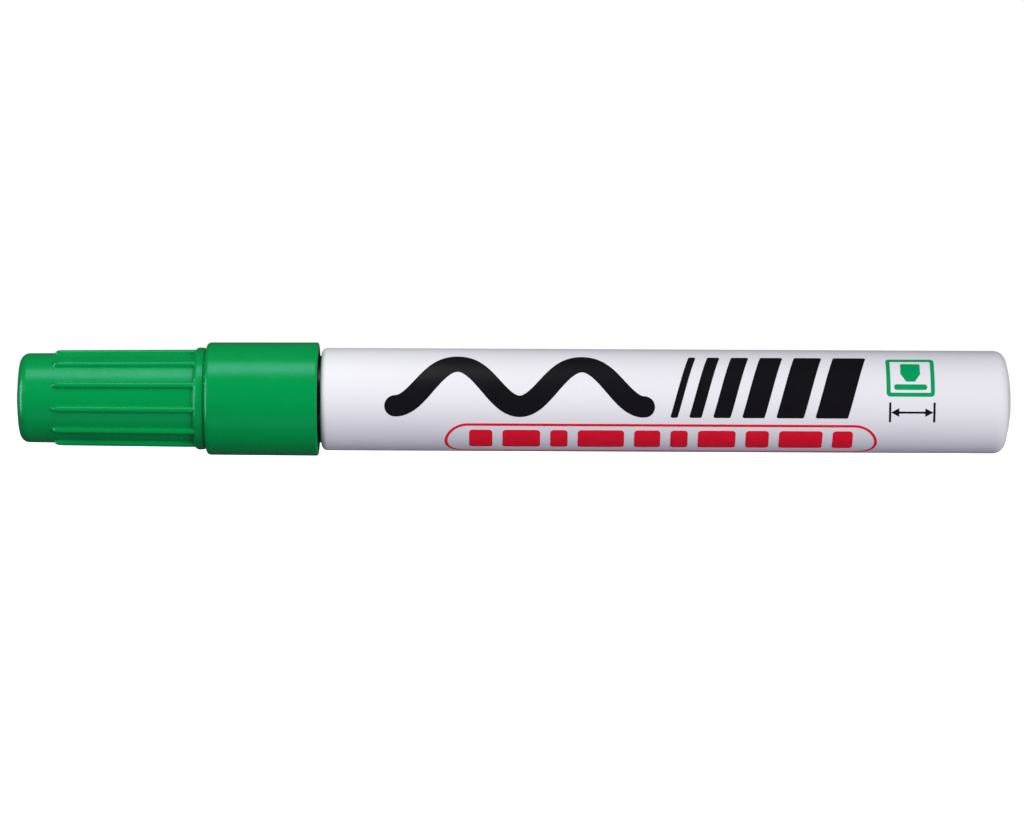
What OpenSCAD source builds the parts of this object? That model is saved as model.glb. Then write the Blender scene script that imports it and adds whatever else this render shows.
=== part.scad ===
// Whiteboard marker with an aluminium barrel, a ribbed push-on cap and a bullet nib.
// It lies along X with the cap towards -X, and rests on z = 0 on the skirt of its cap.
// Every profile is drawn as [radius, station], where a station is the distance from the
// cap's closed end along the marker's axis.

/* [Overall] */
// Length from the cap's closed end to the barrel's closed end
total_len = 138; // [130:1:146]
// Gap between the cap's mouth and the barrel when the cap is on
seat_gap = 0.4; // [0.3:0.05:0.8]

/* [Cap] */
// Length of the cap
cap_len = 41.8; // [41.2:0.1:42.6]
// Largest diameter of the cap, at the mouth of its skirt
skirt_d = 15.8; // [15.7:0.1:16.6]
// Diameter of the plain closed end
cap_end_d = 12.4; // [12.2:0.1:12.8]
// Diameter of the collar between the ribs and the skirt
collar_d = 14.3; // [14.2:0.1:14.6]
// Rounding of the closed end
cap_end_round = 1.3; // [0.8:0.1:1.6]
// Number of grip ribs
rib_count = 12; // [6:1:16]
// Width of a rib
rib_w = 0.8; // [0.6:0.05:1.1]
// Height of a rib over the surface beside it
rib_h = 0.58; // [0.4:0.02:0.7]
// Wall thickness of the skirt
skirt_wall = 1.2; // [1.05:0.05:1.3]

/* [Barrel] */
// Outside diameter of the barrel
barrel_d = 14.3; // [14.2:0.1:14.6]
// Wall thickness of the aluminium
barrel_wall = 0.5; // [0.4:0.05:0.55]
// Rounding of the rolled front edge
barrel_front_round = 0.9; // [0.8:0.05:0.9]
// Rounding of the closed end
barrel_end_round = 1.7; // [1:0.1:1.8]
// Radius of the shallow dome that closes the barrel
barrel_dome_r = 25; // [20:1:40]

/* [Writing end] */
// Diameter of the holder's neck, which shows between cap and barrel
neck_d = 12.1; // [11.9:0.1:12.1]
// Diameter of the nib
nib_d = 4; // [3.6:0.1:4.2]
// Width of the line that the nib's tip draws
line_w = 2; // [1.5:0.1:2.4]
// Length of nib that stands out of the holder
nib_out = 4.4; // [4:0.1:5]
// Length of the nib
nib_len = 39; // [38:0.5:41]

/* [Hidden] */
ARC_STEPS = 6;
ROUND_FN = 128;
// What a cut runs past the face that it opens
OVERRUN = 1;
// Clearance between pieces that slide on each other
RUN = 0.05;

axis_z = skirt_d / 2;
// Angles round the axis, from straight below, at which the round outlines start and end. A flat of
// the cap's mesh and a flat of the barrel's mesh then face straight down, where the marker rests.
seam_angle = 18.2;
barrel_seam_angle = 20.66;

// Cap, outside
boss_r = 2.55;
boss_h = 0.15;
end_fall = 0.2;
end_section_len = 5.2;
side_draft = 0.2;
rib_start = end_section_len;
// Angle of the first rib from straight below
rib_first = 14;
rib_nose = 0.8;
collar_start = 24.5;
collar_round = 0.7;
collar_end = 25.85;
groove_len = 0.3;
groove_depth = 0.1;
shoulder_start = collar_end + groove_len;
shoulder_round = 0.75;
skirt_draft = 0.07;
mouth_round = 0.3;
cap_end_r = cap_end_d / 2;
collar_r = collar_d / 2;
skirt_r = skirt_d / 2;
rib_foot_r = cap_end_r + side_draft;

// Cap, inside
cap_end_wall = 1.4;
cap_bore_r = 5.2;
cap_step = 28;
skirt_bore_r = skirt_r - skirt_wall;
mouth_lead = 0.25;
bead_at = cap_len - 1.8;
bead_half = 0.3;
bead_slope = 0.35;

// Barrel
barrel_front = cap_len + seat_gap;
barrel_r = barrel_d / 2;
barrel_bore_r = barrel_r - barrel_wall;
barrel_end_wall = 0.7;

// Nib holder
neck_r = neck_d / 2;
nozzle_tip = 22.2;
nozzle_r = 2.65;
nozzle_round = 0.3;
nozzle_cone = 20;
nose_start = 27.6;
nose_r = 4.35;
seal_at = 30.1;
seal_r = 4.45;
seal_half = 0.2;
seal_slope = 0.3;
neck_start = 32.9;
neck_round = 0.35;
snap_at = cap_len - 2.9;
snap_r = neck_r + 0.4;
snap_half = 0.15;
snap_slope = 0.4;
holder_tail = 51.8;
plug_r = barrel_bore_r - 0.15;
plug_ring_r = barrel_bore_r - RUN;
plug_rings = 3;
plug_ring_start = barrel_front + 2.5;
plug_ring_pitch = 2;
plug_ring_half = 0.4;
plug_ring_slope = 0.15;
sleeve_r = 3.1;
cavity_start = 35.8;
cavity_step = barrel_front + 1;
cavity_neck_r = neck_r - 1.05;
cavity_tail_r = plug_r - 0.95;
web_count = 6;
web_w = 0.7;
web_len = 9;
vent_count = 4;
vent_r = 0.3;

// Nib
nib_r = nib_d / 2;
nib_bore_r = nib_r + RUN;
nib_tip = nozzle_tip - nib_out;
nib_tip_r = line_w / 2;
nib_shoulder = nib_tip + 3;
nib_cheek = 25;
nib_tail = nib_tip + nib_len;
nib_point_len = 2;
nib_point_r = 0.8;

// Inner cap
liner_r = cap_bore_r - 0.02;
liner_bore_r = seal_r + RUN;
liner_floor = 10.2;
liner_floor_wall = 0.8;
liner_round = 0.8;
liner_flange_r = skirt_bore_r - RUN;
liner_flange_len = 0.8;
liner_rim_r = liner_bore_r + 0.85;
liner_rim = neck_start - 0.1;
liner_lead = 0.3;

// Reservoir
core_start = holder_tail + 0.1;
core_gap = 2.2;
core_len = total_len - barrel_end_wall - core_gap - core_start;
core_r = 6.15;
film_wall = 0.14;
film_fit = 0.01;

// Points along an arc about a centre, between two angles in degrees
function arc(centre, r, from, to) =
    [for (i = [0:ARC_STEPS]) let (a = from + (to - from) * i / ARC_STEPS) centre + r * [cos(a), sin(a)]];

// The bump that a ring of the given crest radius makes in a profile of radius r
function ring_profile(r, crest, at, half, slope) =
    [[r, at - half - slope], [crest, at - half], [crest, at + half], [r, at + half + slope]];

module on_axis(seam = seam_angle) {
    translate([-total_len / 2, 0, axis_z]) rotate([0, 90, 0]) rotate(seam) children();
}

module lathe(outline) {
    rotate_extrude($fn = ROUND_FN) polygon(outline);
}

module around(count, first = 0) {
    for (i = [0:count - 1]) rotate(first + i * 360 / count) children();
}

// ---- Cap shell: one moulding with a plain end, grip ribs, a collar and a wide skirt

function cap_outside() = concat(
    [[0, 0], [boss_r, 0], [boss_r, boss_h]],
    arc([cap_end_r - cap_end_round, boss_h + end_fall + cap_end_round], cap_end_round, -90, 0),
    [[rib_foot_r, collar_start]],
    arc([collar_r - collar_round, collar_start + collar_round], collar_round, -90, 0),
    [
        [collar_r, collar_end],
        [collar_r - groove_depth, collar_end + groove_len / 2],
        [collar_r, shoulder_start]
    ],
    arc([skirt_r - skirt_draft - shoulder_round, shoulder_start + shoulder_round], shoulder_round, -90, 0),
    arc([skirt_r - mouth_round, cap_len - mouth_round], mouth_round, 0, 90),
    [[0, cap_len]]
);

function cap_inside() = concat(
    [[0, cap_end_wall], [cap_bore_r, cap_end_wall], [cap_bore_r, cap_step], [skirt_bore_r, cap_step]],
    ring_profile(skirt_bore_r, snap_r + RUN, bead_at, bead_half, bead_slope),
    [
        [skirt_bore_r, cap_len - mouth_lead],
        [skirt_bore_r + mouth_lead, cap_len],
        [skirt_bore_r + mouth_lead, cap_len + OVERRUN],
        [0, cap_len + OVERRUN]
    ]
);

// Cross-section of a rib: straight sides and a round crest
module rib_section(crest_r) {
    polygon(concat(
        [[cap_bore_r + OVERRUN / 2, rib_w / 2], [cap_bore_r + OVERRUN / 2, -rib_w / 2]],
        arc([crest_r - rib_w / 2, 0], rib_w / 2, -90, 90)
    ));
}

// The ribs lean with the draft of the surface that they stand on, and start with a round nose
module grip_ribs() {
    rib_len = collar_start + collar_round / 2 - rib_start;
    crest_r = cap_end_r + rib_h;
    intersection() {
        around(rib_count, rib_first - seam_angle)
            translate([0, 0, rib_start])
                rotate([0, atan(side_draft / rib_len), 0])
                    linear_extrude(rib_len) rib_section(crest_r);
        lathe(concat(
            [[cap_bore_r, rib_start]],
            arc([crest_r - rib_nose, rib_start + rib_nose], rib_nose, -45, 0),
            [[collar_r, collar_start + OVERRUN], [cap_bore_r, collar_start + OVERRUN]]
        ));
    }
}

module cap_shell() {
    color("#009950") on_axis() difference() {
        union() {
            lathe(cap_outside());
            grip_ribs();
        }
        lathe(cap_inside());
    }
}

// ---- Inner cap: the liner that seals round the nose of the nib holder

module inner_cap() {
    color("#e8ece6") on_axis() lathe(concat(
        [[0, liner_floor - liner_floor_wall]],
        arc([liner_r - liner_round, liner_floor - liner_floor_wall + liner_round], liner_round, -90, 0),
        [
            [liner_r, cap_step],
            [liner_flange_r, cap_step],
            [liner_flange_r, cap_step + liner_flange_len],
            [liner_rim_r, cap_step + liner_flange_len],
            [liner_rim_r, liner_rim],
            [liner_bore_r + liner_lead, liner_rim],
            [liner_bore_r, liner_rim - liner_lead * 2],
            [liner_bore_r, liner_floor],
            [0, liner_floor]
        ]
    ));
}

// ---- Nib: a bonded fibre rod with a bullet tip, pointed at the back where it enters the reservoir

function nib_outline(grow = 0) = concat(
    arc([0, nib_tip + nib_tip_r], nib_tip_r, -90, -nib_cheek),
    [
        [nib_r, nib_shoulder],
        [nib_r + grow, nib_shoulder],
        [nib_r + grow, nib_tail - nib_point_len],
        [nib_point_r + grow, nib_tail + grow],
        [0, nib_tail + grow]
    ]
);

module nib() {
    color("#1f8f57") on_axis() lathe(nib_outline());
}

// ---- Nib holder: the black front piece that the barrel is rolled onto

function holder_outside() = concat(
    [[0, nozzle_tip]],
    arc([nozzle_r - nozzle_round, nozzle_tip + nozzle_round], nozzle_round, -90, -nozzle_cone),
    [[nose_r, nose_start]],
    ring_profile(nose_r, seal_r, seal_at, seal_half, seal_slope),
    [[nose_r, neck_start]],
    arc([neck_r - neck_round, neck_start + neck_round], neck_round, -90, 0),
    ring_profile(neck_r, snap_r, snap_at, snap_half, snap_slope),
    [[neck_r, barrel_front + barrel_wall + RUN]],
    arc(
        [barrel_r - barrel_front_round, barrel_front + barrel_front_round],
        plug_r - barrel_r + barrel_front_round, -90, 0
    ),
    [
        for (i = [0:plug_rings - 1])
            each ring_profile(
                plug_r, plug_ring_r, plug_ring_start + i * plug_ring_pitch, plug_ring_half, plug_ring_slope
            )
    ],
    [[plug_r, holder_tail - neck_round], [plug_r - neck_round, holder_tail], [0, holder_tail]]
);

// The hollow round the nib sleeve, open to the reservoir, which also catches surplus ink
module holder_cavity() {
    lathe([
        [sleeve_r, cavity_start],
        [cavity_neck_r, cavity_start],
        [cavity_neck_r, cavity_step],
        [cavity_tail_r, cavity_step + cavity_tail_r - cavity_neck_r],
        [cavity_tail_r, holder_tail + OVERRUN],
        [sleeve_r, holder_tail + OVERRUN]
    ]);
}

module holder_webs() {
    web_out = (cavity_neck_r + neck_r) / 2;
    web_in = (sleeve_r + nib_bore_r) / 2;
    around(web_count)
        translate([web_in, -web_w / 2, cavity_start - web_w])
            cube([web_out - web_in, web_w, web_len]);
}

module nib_holder() {
    bore_len = holder_tail - nozzle_tip + 2 * OVERRUN;
    color("#161718") on_axis() difference() {
        union() {
            difference() {
                lathe(holder_outside());
                holder_cavity();
            }
            holder_webs();
        }
        translate([0, 0, nozzle_tip - OVERRUN]) cylinder(h = bore_len, r = nib_bore_r, $fn = 64);
        around(vent_count, 180 / vent_count)
            translate([nib_bore_r + vent_r / 4, 0, nozzle_tip - OVERRUN])
                cylinder(h = bore_len, r = vent_r, $fn = 24);
    }
}

// ---- Barrel: an impact-extruded tube, domed at the back and rolled in at the front

// Outline of the closed end, set in by the given wall thicknesses. The corner's arc is tangent to
// the side and to the dome.
function closed_end(side_wall, end_wall) =
    let (
        dome_r = barrel_dome_r - end_wall,
        corner_r = barrel_end_round - side_wall,
        dome_at = total_len - barrel_dome_r,
        corner_in = barrel_r - barrel_end_round,
        corner_at = dome_at + sqrt(pow(dome_r - corner_r, 2) - pow(corner_in, 2)),
        meet = atan2(corner_at - dome_at, corner_in)
    )
    concat(
        arc([corner_in, corner_at], corner_r, 0, meet),
        arc([0, dome_at], dome_r, meet, 90)
    );

function reversed(list) = [for (i = [len(list) - 1:-1:0]) list[i]];

module barrel() {
    front_centre = [barrel_r - barrel_front_round, barrel_front + barrel_front_round];
    lip_r = neck_r + RUN;
    color("#eceaf0") on_axis(barrel_seam_angle) lathe(concat(
        [[lip_r, barrel_front + barrel_wall], [lip_r, barrel_front]],
        arc(front_centre, barrel_front_round, -90, 0),
        closed_end(0, 0),
        reversed(closed_end(barrel_wall, barrel_end_wall)),
        arc(front_centre, barrel_front_round - barrel_wall, 0, -90)
    ));
}

// ---- Reservoir: a fibre bundle that holds the ink, wrapped in a thin film

module reservoir_core() {
    color("#0f7a45") on_axis() difference() {
        translate([0, 0, core_start]) cylinder(h = core_len, r = core_r, $fn = ROUND_FN);
        lathe(nib_outline(RUN));
    }
}

module reservoir_film() {
    color("#cfd6d2") on_axis() translate([0, 0, core_start]) difference() {
        cylinder(h = core_len, r = core_r + film_fit + film_wall, $fn = ROUND_FN);
        translate([0, 0, -OVERRUN])
            cylinder(h = core_len + 2 * OVERRUN, r = core_r + film_fit, $fn = ROUND_FN);
    }
}

cap_shell();
inner_cap();
nib();
nib_holder();
barrel();
reservoir_core();
reservoir_film();
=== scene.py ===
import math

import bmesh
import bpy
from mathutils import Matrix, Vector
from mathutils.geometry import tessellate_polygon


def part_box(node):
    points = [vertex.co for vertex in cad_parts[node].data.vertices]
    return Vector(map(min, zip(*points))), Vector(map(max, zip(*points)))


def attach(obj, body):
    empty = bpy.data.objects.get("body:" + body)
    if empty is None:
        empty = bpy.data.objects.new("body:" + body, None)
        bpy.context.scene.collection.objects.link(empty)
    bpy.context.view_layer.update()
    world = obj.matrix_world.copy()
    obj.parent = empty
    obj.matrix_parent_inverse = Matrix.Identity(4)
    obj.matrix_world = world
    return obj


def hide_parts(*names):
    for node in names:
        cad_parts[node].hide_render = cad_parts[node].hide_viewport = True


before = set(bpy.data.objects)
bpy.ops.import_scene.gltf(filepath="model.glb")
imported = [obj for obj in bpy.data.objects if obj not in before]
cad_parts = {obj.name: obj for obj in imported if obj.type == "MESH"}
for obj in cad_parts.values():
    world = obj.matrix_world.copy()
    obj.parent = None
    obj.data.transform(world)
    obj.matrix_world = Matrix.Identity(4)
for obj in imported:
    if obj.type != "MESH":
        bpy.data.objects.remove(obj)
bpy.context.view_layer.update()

# Whiteboard marker: a white aluminium barrel with printed marks, a ribbed green push-on cap, and
# under the cap a black nib holder with a fibre nib.
#
# Profiles are lists of (radius, station) in millimetres. A station is the distance from the cap's
# closed end along the marker's axis. An angle round the axis is 0 on the side that faces the
# camera and grows upwards.

MM = 0.001

# ---- Measures from the frame ---------------------------------------------------------------

cap_low, cap_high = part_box("cap_shell")
barrel_low, barrel_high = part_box("barrel")
holder_low, holder_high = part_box("nib_holder")
nib_low, nib_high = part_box("nib")
liner_low, liner_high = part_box("inner_cap")

END_X = cap_low.x
AXIS_Z = (cap_low.z + cap_high.z) / 2


def station(x):
    return (x - END_X) / MM


def radius(low, high):
    return (high.z - low.z) / 2 / MM


TOTAL_LEN = station(barrel_high.x)
CAP_LEN = station(cap_high.x)
SKIRT_R = radius(cap_low, cap_high)
BARREL_FRONT = station(barrel_low.x)
BARREL_R = radius(barrel_low, barrel_high)
NOZZLE_TIP = station(holder_low.x)
HOLDER_TAIL = station(holder_high.x)
NIB_TIP = station(nib_low.x)
NIB_TAIL = station(nib_high.x)
NIB_R = radius(nib_low, nib_high)
LINER_TOP = station(liner_low.x)
LINER_RIM = station(liner_high.x)
LINER_FLANGE_R = radius(liner_low, liner_high)

# ---- Meshes --------------------------------------------------------------------------------

SEGMENTS = 256
EVEN_ANGLES = [2 * math.pi * i / SEGMENTS for i in range(SEGMENTS)]
ARC_STEP = 7  # degrees
GUARD = 0.04
SHARP_ANGLE = 35  # degrees
ON_AXIS = 1e-6  # a smaller radius is a point on the axis


def place(r, at, angle):
    """The point at a radius, a station and an angle round the axis, in the row frame."""
    across = r * MM * math.cos(angle)
    up = r * MM * math.sin(angle)
    return Vector((END_X + at * MM, -across, AXIS_Z + up))


def arc(before, corner, after, rounding, steps=None):
    """Points of the arc that rounds a corner, one every ARC_STEP degrees if steps isn't given."""
    back = (before - corner).normalized()
    on = (after - corner).normalized()
    half = back.angle(on) / 2
    reach = rounding / math.tan(half)
    centre = corner + (back + on).normalized() * rounding / math.sin(half)
    first = corner + back * reach - centre
    last = corner + on * reach - centre
    turn = math.pi - 2 * half
    steps = steps or max(3, math.ceil(math.degrees(turn) / ARC_STEP))
    points = []
    for i in range(steps + 1):
        share = i / steps
        spoke = first * math.sin((1 - share) * turn) + last * math.sin(share * turn)
        points.append(centre + spoke / math.sin(turn))
    return points


def fillet(before, corner, after, rounding):
    """The arc that rounds a corner, with a guard point on the straight at each end."""
    points = arc(before, corner, after, rounding)
    first = points[0] + (before - corner).normalized() * GUARD
    last = points[-1] + (after - corner).normalized() * GUARD
    return [first, *points, last]


def rounded(corners):
    """An outline through corners of (radius, station) or (radius, station, rounding)."""
    spots = [Vector(corner[:2]) for corner in corners]
    points = []
    for i, corner in enumerate(corners):
        if len(corner) == 2:
            points.append(spots[i])
        else:
            points.extend(fillet(spots[i - 1], spots[i], spots[(i + 1) % len(spots)], corner[2]))
    return points


def ring(r, at, angles):
    """One ring of points round the axis, or the single point on it."""
    if r < ON_AXIS:
        return [place(0, at, 0)]
    return [place(r, at, angle) for angle in angles]


def bead(foot_r, crest_r, at, crest_half, foot_half, crest_round, foot_round):
    """Corners of a low ring round a surface, for use in an outline."""
    return [
        (foot_r, at - foot_half, foot_round),
        (crest_r, at - crest_half, crest_round),
        (crest_r, at + crest_half, crest_round),
        (foot_r, at + foot_half, foot_round),
    ]


def skin(rings, closed=False):
    """Faces between neighbouring rings. A ring of one point closes the skin at a pole, and nothing
    is drawn between two poles."""
    bm = bmesh.new()
    rows = [[bm.verts.new(point) for point in points] for points in rings]
    pairs = list(zip(rows, rows[1:]))
    if closed:
        pairs.append((rows[-1], rows[0]))
    for low, high in pairs:
        count = max(len(low), len(high))
        if count == 1:
            continue
        for i in range(count):
            j = (i + 1) % count
            corners = [low[i % len(low)], low[j % len(low)], high[j % len(high)], high[i % len(high)]]
            bm.faces.new(list(dict.fromkeys(corners)))
    return bm


def lathe(outline, closed=False):
    return skin([ring(r, at, EVEN_ANGLES) for r, at in outline], closed)


def piece(name, bm, material, body, replaces=()):
    """Turns a bmesh into a finished piece that rides on a body."""
    bmesh.ops.recalc_face_normals(bm, faces=bm.faces)
    mesh = bpy.data.meshes.new(name)
    bm.to_mesh(mesh)
    bm.free()
    mesh.shade_smooth()
    mesh.set_sharp_from_angle(angle=math.radians(SHARP_ANGLE))
    mesh.materials.append(material)
    made = bpy.data.objects.new(name, mesh)
    bpy.context.scene.collection.objects.link(made)
    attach(made, body)
    if replaces:
        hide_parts(*replaces)
    return made


def smooth_max(a, b, blend):
    """The larger of two values, with a smooth change from one to the other."""
    near = max(blend - abs(a - b), 0) / blend
    return max(a, b) + near * near * blend / 4


# ---- Materials -----------------------------------------------------------------------------


def shader_of(material):
    return material.node_tree.nodes["Principled BSDF"]


def principled(name, colour, roughness, **sockets):
    """A material whose constant values sit on the shader's own sockets."""
    material = bpy.data.materials.new(name)
    material.use_nodes = True
    shader = shader_of(material)
    shader.inputs["Base Color"].default_value = (*colour, 1)
    shader.inputs["Roughness"].default_value = roughness
    for socket, value in sockets.items():
        shader.inputs[socket.replace("_", " ")].default_value = value
    return material


def noise(material, scale, detail=3, stretch=(1, 1, 1)):
    """A noise pattern fixed to the object. scale is in patches per metre."""
    nodes = material.node_tree.nodes
    links = material.node_tree.links
    coordinates = nodes.new("ShaderNodeTexCoord")
    mapping = nodes.new("ShaderNodeMapping")
    mapping.inputs["Scale"].default_value = stretch
    pattern = nodes.new("ShaderNodeTexNoise")
    pattern.inputs["Scale"].default_value = scale
    pattern.inputs["Detail"].default_value = detail
    links.new(coordinates.outputs["Object"], mapping.inputs["Vector"])
    links.new(mapping.outputs["Vector"], pattern.inputs["Vector"])
    return pattern.outputs["Fac"]


PATTERN_LOW = 0.3
PATTERN_HIGH = 0.7


def vary_roughness(material, pattern, low, high):
    links = material.node_tree.links
    spread = material.node_tree.nodes.new("ShaderNodeMapRange")
    spread.inputs["From Min"].default_value = PATTERN_LOW
    spread.inputs["From Max"].default_value = PATTERN_HIGH
    spread.inputs["To Min"].default_value = low
    spread.inputs["To Max"].default_value = high
    links.new(pattern, spread.inputs["Value"])
    links.new(spread.outputs["Result"], shader_of(material).inputs["Roughness"])


def vary_colour(material, pattern, first, second):
    links = material.node_tree.links
    ramp = material.node_tree.nodes.new("ShaderNodeValToRGB")
    low, high = ramp.color_ramp.elements
    low.position = PATTERN_LOW
    low.color = (*first, 1)
    high.position = PATTERN_HIGH
    high.color = (*second, 1)
    links.new(pattern, ramp.inputs["Fac"])
    links.new(ramp.outputs["Color"], shader_of(material).inputs["Base Color"])


def roughen(material, pattern, depth_mm, strength=1.0):
    """A fine bump. depth_mm is the height of the pattern."""
    links = material.node_tree.links
    bump = material.node_tree.nodes.new("ShaderNodeBump")
    bump.inputs["Strength"].default_value = strength
    bump.inputs["Distance"].default_value = depth_mm * MM
    links.new(pattern, bump.inputs["Height"])
    links.new(bump.outputs["Normal"], shader_of(material).inputs["Normal"])


def cap_plastic():
    """Semi-gloss green polypropylene, a little uneven as moulded."""
    material = principled(
        "green_moulding",
        (0.0, 0.32, 0.068),
        0.26,
        Specular_IOR_Level=0.4,
        Specular_Tint=(0.35, 0.85, 1.0, 1),
    )
    vary_colour(material, noise(material, 140), (0.0, 0.31, 0.064), (0.0, 0.33, 0.072))
    vary_roughness(material, noise(material, 700), 0.22, 0.3)
    roughen(material, noise(material, 2600, detail=4), 0.004, 0.5)
    return material


def barrel_paint():
    """White enamel on aluminium, satin, with the faint orange peel of a sprayed coat."""
    material = principled("white_enamel", (0.84, 0.84, 0.86), 0.42, Specular_IOR_Level=0.3)
    vary_colour(material, noise(material, 90), (0.834, 0.834, 0.854), (0.85, 0.85, 0.87))
    vary_roughness(material, noise(material, 500), 0.38, 0.46)
    roughen(material, noise(material, 1100, detail=2), 0.003, 0.5)
    return material


INK_SHADE = 0.86


def ink(name, colour):
    """Screen-printed ink, with the slight unevenness of the screen."""
    material = principled(name, colour, 0.4, Specular_IOR_Level=0.25)
    darker = tuple(value * INK_SHADE for value in colour)
    vary_colour(material, noise(material, 900, detail=4), darker, colour)
    vary_roughness(material, noise(material, 1500), 0.34, 0.46)
    return material


def holder_plastic():
    """Semi-gloss black polypropylene."""
    material = principled("black_moulding", (0.012, 0.012, 0.014), 0.35)
    vary_roughness(material, noise(material, 900), 0.28, 0.42)
    roughen(material, noise(material, 3000, detail=4), 0.003, 0.5)
    return material


def liner_plastic():
    """Natural polyethylene, waxy and slightly see-through."""
    material = principled(
        "natural_moulding",
        (0.78, 0.8, 0.77),
        0.45,
        Subsurface_Weight=0.2,
        Subsurface_Scale=0.001,
    )
    vary_roughness(material, noise(material, 600), 0.4, 0.5)
    return material


def nib_fibre():
    """Bonded acrylic fibres that run along the nib, soaked in green ink."""
    material = principled("inked_fibre", (0.01, 0.2, 0.07), 0.85)
    streaks = noise(material, 9000, detail=4, stretch=(0.06, 1, 1))
    vary_colour(material, streaks, (0.004, 0.14, 0.045), (0.02, 0.3, 0.11))
    roughen(material, streaks, 0.03)
    return material


def reservoir_fibre():
    """Loose fibres that run along the reservoir, soaked in green ink."""
    material = principled("soaked_wadding", (0.01, 0.2, 0.06), 0.9)
    strands = noise(material, 5000, detail=5, stretch=(0.03, 1, 1))
    vary_colour(material, strands, (0.006, 0.13, 0.04), (0.05, 0.34, 0.14))
    roughen(material, strands, 0.05)
    return material


def reservoir_wrap():
    """Clear film, stained by the ink behind it."""
    material = principled("clear_film", (0.55, 0.68, 0.6), 0.15, Transmission_Weight=0.35)
    vary_roughness(material, noise(material, 400), 0.1, 0.25)
    return material


GREEN = cap_plastic()
WHITE = barrel_paint()
BLACK_INK = ink("black_ink", (0.007, 0.006, 0.009))
RED_INK = ink("red_ink", (0.93, 0.006, 0.03))
GREEN_INK = ink("green_ink", (0.0, 0.38, 0.12))

# ---- Cap -----------------------------------------------------------------------------------

BOSS_R = 2.55
BOSS_H = 0.15
END_R = 6.2
END_FACE = 0.38
END_ROUND = 1.3
RIB_COUNT = 12
RIB_ANGLE = math.radians(16)
RIB_START = 5.2
RIB_LEAD = 0.3
RIB_NOSE = 0.8
RIB_NOSE_STEP = 0.09
RIB_NOSE_RINGS = 14
RIB_W = 0.8
RIB_H = 0.58
RIB_SIDE_ANGLE = math.radians(76)
RIB_FOOT = 0.12
COLLAR_START = 24.6
COLLAR_R = 7.15
COLLAR_END_R = 7.09
COLLAR_ROUND = 0.648
SHOULDER = 26.2
SHOULDER_R = SKIRT_R - 0.07
SHOULDER_ROUND = 0.63
GROOVE_R = 6.93
GROOVE_ROUND = 0.06
MOUTH_ROUND = 0.3
SIDE_R = 6.4
EDGE_ROUND = 0.08

CAP_FLOOR = 1.4
CAP_BORE_R = 5.2
CAP_STEP = 28
SKIRT_BORE_R = 6.7
BEAD_R = 6.5
BEAD_AT = CAP_LEN - 1.8
MOUTH_LEAD = 0.25
INSIDE_ROUND = 0.15


def side_radius(at):
    """Radius of the drafted surface that the ribs stand on."""
    return END_R + (SIDE_R - END_R) * at / COLLAR_START


def rib_surface(at, angle):
    """Radius of the nearest rib's round crest, which falls away steeply at its sides and nose."""
    pitch = 2 * math.pi / RIB_COUNT
    offset = (angle - RIB_ANGLE + pitch / 2) % pitch - pitch / 2
    half = RIB_W / 2
    across = abs(offset) * side_radius(at)
    ahead = max(0, RIB_START + RIB_NOSE - at) * half / RIB_NOSE
    distance = math.hypot(across, ahead)
    crest = side_radius(at) + RIB_H - half
    edge = half * math.sin(RIB_SIDE_ANGLE)
    if distance < edge:
        return crest + math.sqrt(half * half - distance * distance)
    drop = (distance - edge) * math.tan(RIB_SIDE_ANGLE)
    return crest + half * math.cos(RIB_SIDE_ANGLE) - drop


def rib_angles():
    """Angles of a ring's points: closest at the foot of each rib and widest between ribs. Offsets
    from a rib's crest are in a unit that puts middle halfway to the next rib."""
    near = [0.0, 0.09, 0.18, 0.25, 0.31, 0.35, 0.38, 0.41, 0.44, 0.47, 0.51, 0.56, 0.63, 0.72]
    middle = 1.65
    gaps = 5
    between = [near[-1] + (middle - near[-1]) * i / gaps for i in range(1, gaps)]
    offsets = near + between
    steps = [-offset for offset in reversed(offsets[1:])] + offsets + [middle]
    pitch = 2 * math.pi / RIB_COUNT
    scale = pitch / 2 / middle
    return [RIB_ANGLE + k * pitch + step * scale for k in range(RIB_COUNT) for step in steps]


def cap_outside():
    """Outline from the middle of the closed end to the edge of the mouth."""
    nose = [RIB_START - RIB_LEAD + RIB_NOSE_STEP * i for i in range(RIB_NOSE_RINGS)]
    side = [8, 11, 14, 17, 20, 22.5]
    return rounded(
        [
            (0, 0),
            (BOSS_R - 0.05, 0, EDGE_ROUND),
            (BOSS_R, BOSS_H, EDGE_ROUND),
            (END_R, END_FACE, END_ROUND),
        ]
        + [(side_radius(at), at) for at in nose + side]
        + [
            (SIDE_R, COLLAR_START, EDGE_ROUND),
            (COLLAR_R, COLLAR_START, COLLAR_ROUND),
            (COLLAR_END_R, SHOULDER - 0.26, EDGE_ROUND),
            (GROOVE_R, SHOULDER - 0.12, GROOVE_ROUND),
            (GROOVE_R, SHOULDER, GROOVE_ROUND),
            (SHOULDER_R, SHOULDER + 0.04, SHOULDER_ROUND),
            (SKIRT_R, CAP_LEN, MOUTH_ROUND),
            (SKIRT_BORE_R + MOUTH_LEAD, CAP_LEN, 0.05),
        ]
    )[:-1]


def cap_inside():
    """Outline from the edge of the mouth to the middle of the floor."""
    snap_bead = bead(SKIRT_BORE_R, BEAD_R, BEAD_AT, 0.3, 0.65, 0.2, INSIDE_ROUND)
    return rounded(
        [
            (SKIRT_BORE_R + MOUTH_LEAD, CAP_LEN),
            (SKIRT_BORE_R, CAP_LEN - 2 * MOUTH_LEAD, 0.1),
            *reversed(snap_bead),
            (SKIRT_BORE_R, CAP_STEP, INSIDE_ROUND),
            (CAP_BORE_R, CAP_STEP, INSIDE_ROUND),
            (CAP_BORE_R, CAP_FLOOR, 0.6),
            (0, CAP_FLOOR),
        ]
    )


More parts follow.
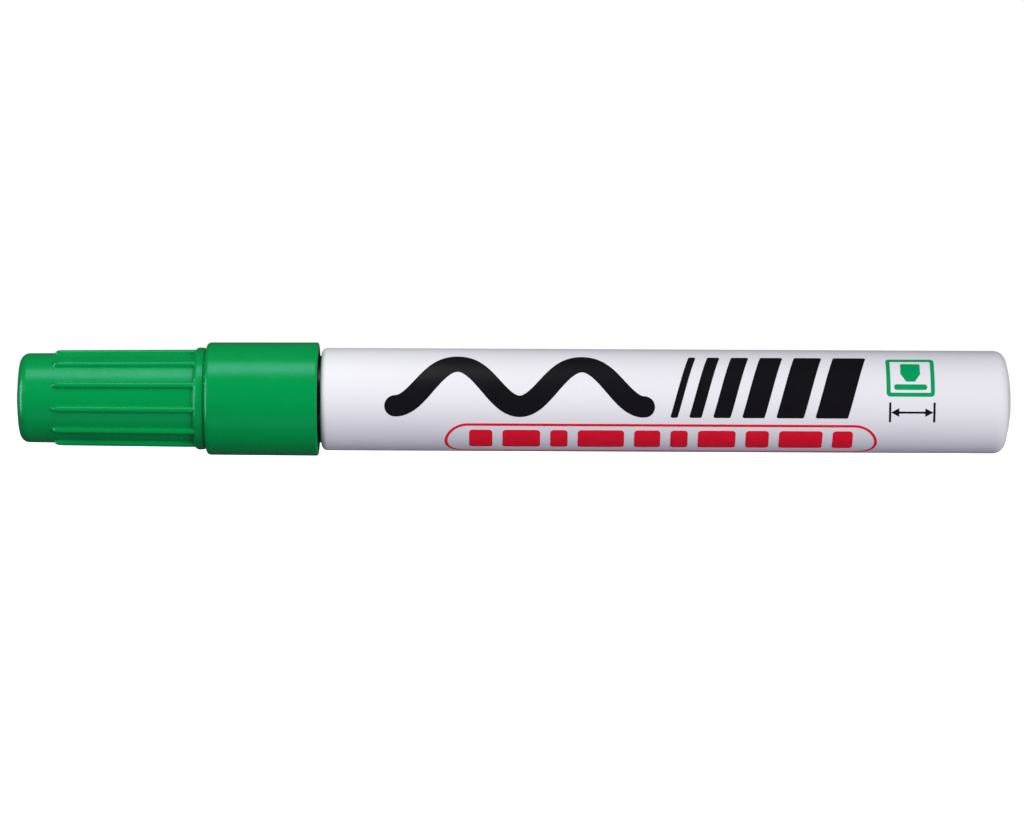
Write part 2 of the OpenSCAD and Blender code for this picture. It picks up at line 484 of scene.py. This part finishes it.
def ribbed_ring(r, at, angles):
    """A ring that rises over each rib."""
    heights = [smooth_max(r, rib_surface(at, angle), RIB_FOOT) for angle in angles]
    return [place(height, at, angle) for height, angle in zip(heights, angles)]


def build_cap():
    angles = rib_angles()
    rings = []
    for r, at in cap_outside():
        has_ribs = r >= ON_AXIS and RIB_START - RIB_LEAD <= at <= SHOULDER
        make_ring = ribbed_ring if has_ribs else ring
        rings.append(make_ring(r, at, angles))
    rings += [ring(r, at, angles) for r, at in cap_inside()[1:]]
    piece("cap_moulding", skin(rings), GREEN, "cap", ["cap_shell"])


LINER_R = 5.15
LINER_SLEEVE_R = 5.35
LINER_BORE_R = 4.5
LINER_WALL = 0.8
LINER_LEAD = 0.3


def build_liner():
    flange_end = CAP_STEP + LINER_WALL
    outline = rounded(
        [
            (0, LINER_TOP),
            (LINER_R, LINER_TOP, 0.8),
            (LINER_R, CAP_STEP),
            (LINER_FLANGE_R, CAP_STEP, 0.1),
            (LINER_FLANGE_R, flange_end, 0.2),
            (LINER_SLEEVE_R, flange_end, 0.2),
            (LINER_SLEEVE_R, LINER_RIM, 0.2),
            (LINER_BORE_R + LINER_LEAD, LINER_RIM, 0.1),
            (LINER_BORE_R, LINER_RIM - 2 * LINER_LEAD, 0.3),
            (LINER_BORE_R, LINER_TOP + LINER_WALL, 0.5),
            (0, LINER_TOP + LINER_WALL),
        ]
    )
    piece("cap_liner", lathe(outline), liner_plastic(), "cap", ["inner_cap"])


# ---- Barrel --------------------------------------------------------------------------------

BARREL_WALL = 0.5
BARREL_END_WALL = 0.7
LIP_R = 6.1
FRONT_ROUND = 0.9
END_CORNER_ROUND = 1.7
DOME_R = 25
DOME_RINGS = 8


def dome_station(r, set_in=0):
    """Station of the domed end at a radius."""
    reach = DOME_R - set_in
    return TOTAL_LEN - DOME_R + math.sqrt(reach * reach - r * r)


def build_barrel():
    """The tube, from its rolled lip over the outside and the domed end, and back inside."""
    inside_r = BARREL_R - BARREL_WALL
    dome_steps = [BARREL_R * (1 - i / DOME_RINGS) for i in range(1, DOME_RINGS)]
    dome_edge = BARREL_R - 2
    outline = rounded(
        [
            (LIP_R, BARREL_FRONT + BARREL_WALL, 0.06),
            (LIP_R, BARREL_FRONT, 0.1),
            (BARREL_R, BARREL_FRONT, FRONT_ROUND),
            (BARREL_R, dome_station(BARREL_R), END_CORNER_ROUND),
        ]
        + [(r, dome_station(r)) for r in dome_steps if r < dome_edge]
        + [(0, TOTAL_LEN)]
    )
    inside = rounded(
        [
            (0, TOTAL_LEN - BARREL_END_WALL),
            (3, dome_station(3, BARREL_END_WALL)),
            (inside_r, dome_station(inside_r, BARREL_END_WALL), 0.8),
            (inside_r, BARREL_FRONT + BARREL_WALL, FRONT_ROUND - BARREL_WALL),
            (LIP_R, BARREL_FRONT + BARREL_WALL),
        ]
    )[:-1]
    tube = lathe(outline + inside, closed=True)
    piece("barrel_tube", tube, WHITE, "marker", ["barrel"])


# ---- Print on the barrel -------------------------------------------------------------------

INK_PROUD = 0.02
INK_SUNK = 0.02
BEND_STEP = 0.25
PRINT_ARC_STEPS = 10
STROKE_END_STEPS = 12


def printed(name, shapes, material):
    """Closed films of ink, bent round the barrel. A shape is an outer loop and its holes, of points
    (station, distance up round the barrel from the line that faces the camera)."""
    bm = bmesh.new()
    for loops in shapes:
        corners = [bm.verts.new((x, up, 0)) for loop in loops for x, up in loop]
        flat = [[Vector((x, up, 0)) for x, up in loop] for loop in loops]
        for triangle in tessellate_polygon(flat):
            bm.faces.new([corners[i] for i in triangle])
    heights = [vert.co.y for vert in bm.verts]
    first_cut = math.ceil(min(heights) / BEND_STEP)
    last_cut = math.floor(max(heights) / BEND_STEP)
    for cut in range(first_cut, last_cut + 1):
        bmesh.ops.bisect_plane(
            bm,
            geom=bm.verts[:] + bm.edges[:] + bm.faces[:],
            plane_co=(0, cut * BEND_STEP, 0),
            plane_no=(0, 1, 0),
        )
    raised = bmesh.ops.extrude_face_region(bm, geom=bm.faces[:])["geom"]
    top = {item for item in raised if isinstance(item, bmesh.types.BMVert)}
    for vert in bm.verts:
        r = BARREL_R + (INK_PROUD if vert in top else -INK_SUNK)
        vert.co = place(r, vert.co.x, vert.co.y / BARREL_R)
    piece(name, bm, material, "marker")


def round_loop(corners, rounding):
    """A closed loop of corners, each rounded by an arc."""
    spots = [Vector(corner) for corner in corners]
    points = []
    for i, corner in enumerate(spots):
        after = spots[(i + 1) % len(spots)]
        points += arc(spots[i - 1], corner, after, rounding, PRINT_ARC_STEPS)
    return [tuple(point) for point in points]


def box_loop(x0, x1, up0, up1, rounding=0.0):
    """A rectangle, with rounded corners if rounding is given."""
    corners = [(x0, up0), (x1, up0), (x1, up1), (x0, up1)]
    return round_loop(corners, rounding) if rounding else corners


def half_turn(centre, start):
    """Points of a clockwise half circle from start, without its two ends."""
    turns = [-math.pi * k / STROKE_END_STEPS for k in range(1, STROKE_END_STEPS)]
    return [centre + Matrix.Rotation(turn, 2) @ (start - centre) for turn in turns]


def stroke(path, half_width):
    """A loop round a path of points, with round ends."""
    spots = [Vector(point) for point in path]
    left = []
    right = []
    for i, spot in enumerate(spots):
        along = (spots[min(i + 1, len(spots) - 1)] - spots[max(i - 1, 0)]).normalized()
        normal = Vector((-along.y, along.x)) * half_width
        left.append(spot + normal)
        right.append(spot - normal)
    far_end = half_turn(spots[-1], left[-1])
    near_end = half_turn(spots[0], right[0])
    loop = left + far_end + right[::-1] + near_end
    return [tuple(point) for point in loop]


MARK_START = 51.1
MARK_END = 117.6
MARK_LOW = -2.4
MARK_HIGH = 7.06


def build_wave():
    """The bold black wave of a marker stroke."""
    half = 1.5
    start = MARK_START + half
    end = 86.9
    middle = (MARK_LOW + MARK_HIGH) / 2
    swing = (MARK_HIGH - MARK_LOW) / 2 - half
    waves = 2
    steps = 180
    path = []
    for i in range(steps + 1):
        share = i / steps
        height = middle - swing * math.cos(share * 2 * math.pi * waves)
        path.append((start + (end - start) * share, height))
    printed("print_wave", [[stroke(path, half)]], BLACK_INK)


def build_bars():
    """Slanted black bars of growing width."""
    widths = [1.0, 1.7, 2.4, 3.1, 3.8, 4.5]
    gap = 1.6
    slant = 2.6
    at = MARK_END - slant - sum(widths) - gap * (len(widths) - 1)
    shapes = []
    for width in widths:
        corners = [
            (at, MARK_LOW),
            (at + width, MARK_LOW),
            (at + width + slant, MARK_HIGH),
            (at + slant, MARK_HIGH),
        ]
        shapes.append([round_loop(corners, 0.25)])
        at += width + gap
    printed("print_bars", shapes, BLACK_INK)


def build_capsule():
    """A red outlined capsule with a row of dashes in it."""
    x0, x1 = 59.4, 119.2
    low, high = -9.73, -3.37
    line = 0.38
    outer_r = (high - low) / 2 - 0.01
    outer = box_loop(x0, x1, low, high, outer_r)
    inner = box_loop(x0 + line, x1 - line, low + line, high - line, outer_r - line)
    shapes = [[outer, inner]]
    lengths = [3.2, 5.2, 2.4, 6.4, 3.6, 2.4, 5.2, 3.2, 6.0, 2.8]
    gap = 1.4
    dash_low, dash_high = -8.0, -4.4
    at = (x0 + x1 - sum(lengths) - gap * (len(lengths) - 1)) / 2
    for length in lengths:
        shapes.append([box_loop(at, at + length, dash_low, dash_high, 0.5)])
        at += length + gap
    printed("print_capsule", shapes, RED_INK)


def build_square():
    """A green framed square that shows a bullet nib over the line that it draws."""
    x0, x1 = 120.3, 126.95
    low, high = 0.7, 6.81
    line = 0.55
    frame_shape = [
        box_loop(x0, x1, low, high, 0.5),
        box_loop(x0 + line, x1 - line, low + line, high - line, 0.15),
    ]
    middle = (x0 + x1) / 2
    nib_half = 1.35
    nib_top = high - line - 0.45
    nib_shoulder = low + 3.3
    tip_half = 0.6
    tip_low = low + 2.15
    nib = round_loop(
        [
            (middle - nib_half, nib_top),
            (middle - nib_half, nib_shoulder),
            (middle - tip_half, tip_low),
            (middle + tip_half, tip_low),
            (middle + nib_half, nib_shoulder),
            (middle + nib_half, nib_top),
        ],
        0.2,
    )
    drawn = box_loop(x0 + 1.05, x1 - 1.05, low + 0.95, low + 1.75, 0.35)
    printed("print_square", [frame_shape, [nib], [drawn]], GREEN_INK)


def build_dimension():
    """A small dimension line: two end ticks and a line with arrowheads between them."""
    x0, x1 = 120.65, 127.05
    middle = -1.5
    tick = 0.3
    tick_half = 1.4
    thin = 0.14
    arrow_half = 0.6
    first_tip = x0 + tick
    last_tip = x1 - tick
    first_head = first_tip + 1.1
    last_head = last_tip - 1.1
    arrow = [
        (first_tip, middle),
        (first_head, middle - arrow_half),
        (first_head, middle - thin),
        (last_head, middle - thin),
        (last_head, middle - arrow_half),
        (last_tip, middle),
        (last_head, middle + arrow_half),
        (last_head, middle + thin),
        (first_head, middle + thin),
        (first_head, middle + arrow_half),
    ]
    shapes = [
        [box_loop(x0, first_tip, middle - tick_half, middle + tick_half)],
        [box_loop(last_tip, x1, middle - tick_half, middle + tick_half)],
        [arrow],
    ]
    printed("print_dimension", shapes, BLACK_INK)


# ---- Nib and its holder --------------------------------------------------------------------

NOZZLE_R = 2.65
NOSE_START = 27.6
NOSE_R = 4.35
SEAL_AT = 30.1
SEAL_R = 4.45
NECK_START = 32.9
NECK_R = 6.05
SNAP_AT = CAP_LEN - 2.9
SNAP_R = 6.45
PLUG_R = 6.5
PLUG_START = BARREL_FRONT + 0.56
CAVITY_START = 35.8
CAVITY_R = 5.2
SLEEVE_R = 3.1
VENT_COUNT = 4
VENT_R = 0.3
VENT_ANGLE = math.radians(25)


def bore_radius(angle):
    """Radius of the nib's bore, which has an air channel at each vent."""
    bore = NIB_R + 0.05
    pitch = 2 * math.pi / VENT_COUNT
    offset = (angle - VENT_ANGLE + pitch / 2) % pitch - pitch / 2
    across = bore * offset
    if abs(across) >= VENT_R:
        return bore
    return bore + math.sqrt(VENT_R * VENT_R - across * across)


def build_holder():
    """The outline runs over the outside, into the cavity and out along the sleeve. The nib's bore
    closes it."""
    outline = rounded(
        [
            (NOZZLE_R, NOZZLE_TIP, 0.3),
            (NOSE_R, NOSE_START, 0.6),
            *bead(NOSE_R, SEAL_R, SEAL_AT, 0.15, 0.5, 0.15, 0.3),
            (NOSE_R, NECK_START, 0.25),
            (NECK_R, NECK_START, 0.35),
            *bead(NECK_R, SNAP_R, SNAP_AT, 0.15, 0.55, 0.15, 0.2),
            (NECK_R, PLUG_START, 0.1),
            (PLUG_R - 0.2, PLUG_START, 0.05),
            (PLUG_R, BARREL_FRONT + 1.1, 0.1),
            (PLUG_R, HOLDER_TAIL, 0.3),
            (CAVITY_R, HOLDER_TAIL, 0.1),
            (CAVITY_R, CAVITY_START, 0.3),
            (SLEEVE_R, CAVITY_START, 0.3),
            (SLEEVE_R, HOLDER_TAIL, 0.2),
        ]
    )
    bore = [(bore_radius(angle), angle) for angle in EVEN_ANGLES]
    rings = [ring(r, at, EVEN_ANGLES) for r, at in outline]
    for at in (HOLDER_TAIL, NOZZLE_TIP + 1, NOZZLE_TIP):
        rings.append([place(r, at, angle) for r, angle in bore])
    body = skin(rings, closed=True)
    piece("holder_moulding", body, holder_plastic(), "marker", ["nib_holder"])


def build_nib():
    """A rod with a bullet tip, and a point at the end that is in the reservoir."""
    outline = rounded(
        [
            (0, NIB_TIP),
            (0.75, NIB_TIP, 0.7),
            (NIB_R - 0.25, NIB_TIP + 2.2, 1.5),
            (NIB_R, NIB_TIP + 3.4, 1.5),
            (NIB_R, NIB_TAIL - 2, 0.5),
            (0.8, NIB_TAIL, 0.2),
            (0, NIB_TAIL),
        ]
    )
    piece("fibre_nib", lathe(outline), nib_fibre(), "marker", ["nib"])


def finish_reservoir():
    """The reservoir's CAD solids keep their shape and get their materials."""
    for node, material in (
        ("reservoir_core", reservoir_fibre()),
        ("reservoir_film", reservoir_wrap()),
    ):
        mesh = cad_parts[node].data
        mesh.materials.clear()
        mesh.materials.append(material)


# ---- Studio --------------------------------------------------------------------------------

FLOOR_SIZE = 6.0
LENS = 160
SENSOR = 36
FRAME_WIDTH = 142.64 * MM
CAMERA_LEFT = 0.3 * MM
CAMERA_DROP = 1.32 * MM
CAMERA_ROLL = math.radians(-0.27)


def build_floor():
    """A pale floor that glows evenly white, and doesn't light or shade the marker."""
    bm = bmesh.new()
    bmesh.ops.create_grid(bm, x_segments=1, y_segments=1, size=FLOOR_SIZE / 2)
    mesh = bpy.data.meshes.new("floor")
    bm.to_mesh(mesh)
    bm.free()
    material = principled(
        "pale_floor",
        (0.9, 0.9, 0.9),
        0.8,
        Emission_Color=(1, 1, 1, 1),
        Emission_Strength=1.2,
        Specular_IOR_Level=0,
    )
    mesh.materials.append(material)
    floor = bpy.data.objects.new("floor", mesh)
    bpy.context.scene.collection.objects.link(floor)
    floor.visible_diffuse = False
    floor.visible_glossy = False
    floor.visible_shadow = False


def soft_light(name, towards, distance, size, radiance, centre=(0, 0, 0), colour=(1, 1, 1)):
    """An area light that faces the marker. towards is (azimuth, elevation) in degrees, with azimuth 0
    on the camera's side and 90 on the right. radiance is the brightness of its surface."""
    azimuth, elevation = (math.radians(angle) for angle in towards)
    middle = Vector(centre) + Vector((0, 0, AXIS_Z))
    direction = Vector(
        (
            math.sin(azimuth) * math.cos(elevation),
            -math.cos(azimuth) * math.cos(elevation),
            math.sin(elevation),
        )
    )
    data = bpy.data.lights.new(name, "AREA")
    data.shape = "RECTANGLE"
    data.size, data.size_y = size
    data.energy = radiance * math.pi * size[0] * size[1]
    data.color = colour
    light = bpy.data.objects.new(name, data)
    light.location = middle + direction * distance
    light.rotation_euler = direction.to_track_quat("Z", "Y").to_euler()
    light.visible_camera = False
    bpy.context.scene.collection.objects.link(light)
    return light


def build_lights():
    """Soft light from above, below, both sides and behind, and a strip that only makes highlights
    on edges that face left."""
    soft_light("key_box", (0, 63), 0.13, (0.085, 0.056), 3.9, centre=(-0.06, 0, 0))
    left = soft_light("left_box", (-42, 20), 0.7, (0.5, 0.3), 4.2)
    left.visible_glossy = False
    right = soft_light("right_box", (42, 1), 0.7, (0.5, 0.3), 6.8)
    right.visible_glossy = False
    soft_light("low_box", (0, -50), 0.7, (0.6, 0.3), 0.38, colour=(0.72, 0.62, 1.0))
    strip = soft_light("left_strip", (-74, 2), 0.7, (0.3, 0.64), 7.5)
    strip.visible_diffuse = False
    back = soft_light("back_box", (180, -5), 0.8, (0.8, 0.4), 5.0)
    back.visible_glossy = False


def background(nodes, colour, strength):
    node = nodes.new("ShaderNodeBackground")
    node.inputs["Color"].default_value = (*colour, 1)
    node.inputs["Strength"].default_value = strength
    return node.outputs["Background"]


def build_world():
    """White behind the marker for the camera, a dim room that lights it, and a darker one for
    reflections."""
    world = bpy.data.worlds.new("studio")
    world.use_nodes = True
    nodes = world.node_tree.nodes
    links = world.node_tree.links
    nodes.clear()
    path = nodes.new("ShaderNodeLightPath")
    seen = background(nodes, (1, 1, 1), 1.02)
    room = background(nodes, (0.8, 0.76, 1.0), 0.2)
    mirrored = background(nodes, (0.8, 0.8, 1.0), 0.06)
    unseen = nodes.new("ShaderNodeMixShader")
    links.new(path.outputs["Is Glossy Ray"], unseen.inputs["Fac"])
    links.new(room, unseen.inputs[1])
    links.new(mirrored, unseen.inputs[2])
    mix = nodes.new("ShaderNodeMixShader")
    links.new(path.outputs["Is Camera Ray"], mix.inputs["Fac"])
    links.new(unseen.outputs["Shader"], mix.inputs[1])
    links.new(seen, mix.inputs[2])
    output = nodes.new("ShaderNodeOutputWorld")
    links.new(mix.outputs["Shader"], output.inputs["Surface"])
    bpy.context.scene.world = world


def build_camera():
    """A long lens, level with the marker, that sees its whole length."""
    data = bpy.data.cameras.new("camera")
    data.lens = LENS
    data.sensor_width = SENSOR
    data.clip_start = 0.01
    data.clip_end = 50
    camera = bpy.data.objects.new("camera", data)
    distance = FRAME_WIDTH * LENS / SENSOR
    middle_x = END_X + TOTAL_LEN * MM / 2
    camera.location = (middle_x - CAMERA_LEFT, -distance, AXIS_Z - CAMERA_DROP)
    camera.rotation_euler = (math.pi / 2, CAMERA_ROLL, 0)
    bpy.context.scene.collection.objects.link(camera)
    bpy.context.scene.camera = camera


build_cap()
build_liner()
build_barrel()
build_wave()
build_bars()
build_capsule()
build_square()
build_dimension()
build_holder()
build_nib()
finish_reservoir()
build_floor()
build_lights()
build_world()
build_camera()
bpy.context.scene.view_settings.view_transform = "Standard"
